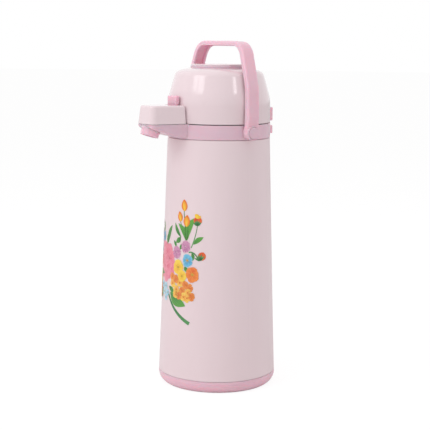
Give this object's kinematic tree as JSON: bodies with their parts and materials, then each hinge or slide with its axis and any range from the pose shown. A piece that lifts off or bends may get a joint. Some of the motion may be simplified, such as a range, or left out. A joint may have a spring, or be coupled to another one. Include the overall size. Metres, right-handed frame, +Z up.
{
  "type": "pump pot",
  "caption": "Glass-lined vacuum pump pot with push plate, bellows pump, fixed spout, hinged lid with latch and a swinging bail handle.",
  "frame": {"origin": "centre of the flat face the pot rests on, on the pot's axis", "axes": "+Z up along the pot's axis; -Y towards the spout; +Y towards the lid hinge; X along the handle pivots"},
  "size_m": [0.1426, 0.1735, 0.402],
  "materials": {
    "pale_gloss": "glossy moulded plastic, very pale pink",
    "pale_satin": "satin moulded plastic, very pale pink",
    "pink_plastic": "semi-gloss moulded plastic, soft pink",
    "silvered_glass": "silvered double-walled glass",
    "clear_plastic": "translucent white plastic",
    "white_plastic": "plain white plastic",
    "silicone": "soft milky silicone",
    "bellows_rubber": "soft grey rubber",
    "steel": "drawn stainless steel",
    "zinc_steel": "bright zinc-plated steel"
  },
  "bodies": {
    "pot": {"outer_casing": "pale_satin", "base_cover": "pink_plastic", "flask_support": "white_plastic", "support_cushion": "silicone", "glass_flask": "silvered_glass", "neck_gasket": "silicone", "collar": "pink_plastic", "spout_cover": "pale_gloss", "spout_nozzle": "pink_plastic", "delivery_tube": "clear_plastic", "tube_seal": "silicone", "tube_elbow": "white_plastic", "dip_tube": "steel", "dip_tube_foot": "white_plastic", "hinge_pin": "steel", "latch_pin": "steel", "latch_spring": "steel", "cover_screws": "zinc_steel", "handle_pivot_pins": "pink_plastic", "handle_washers": "white_plastic"},
    "lid": {"lid_shell": "pale_gloss", "lid_base": "white_plastic", "lid_base_screws": "zinc_steel", "mouth_seal": "silicone", "air_valve_flap": "silicone", "flap_retainer": "white_plastic", "lid_hinge": "pink_plastic", "hinge_screws": "zinc_steel", "bellows": "bellows_rubber", "return_spring": "steel"},
    "push_plate": {"push_plate_ring": "pink_plastic", "push_plate_cap": "pale_gloss", "vent_valve": "silicone"},
    "handle": {"carry_handle": "pink_plastic"},
    "latch": {"latch_lever": "pink_plastic"}
  },
  "joints": [
    {"name": "plate_press", "type": "slide", "parent": "lid", "child": "push_plate", "axis": [0, 0, -1], "range_m": [0, 0.03], "stiffness_N_per_m": 350, "springref_m": -0.02, "deforming": ["bellows", "return_spring"]},
    {"name": "lid_open", "type": "hinge", "parent": "pot", "child": "lid", "pos_m": [0, 0.063, 0.30615], "axis": [-1, 0, 0], "range_deg": [0, 4]},
    {"name": "handle_swing", "type": "hinge", "parent": "pot", "child": "handle", "pos_m": [0, 0, 0.2996], "axis": [1, 0, 0], "range_deg": [-129, 69]},
    {"name": "latch_release", "type": "hinge", "parent": "pot", "child": "latch", "pos_m": [0, -0.0684, 0.3126], "axis": [1, 0, 0], "range_deg": [0, 8], "stiffness_Nm_per_rad": 0.15, "springref_deg": -17.19}
  ]
}
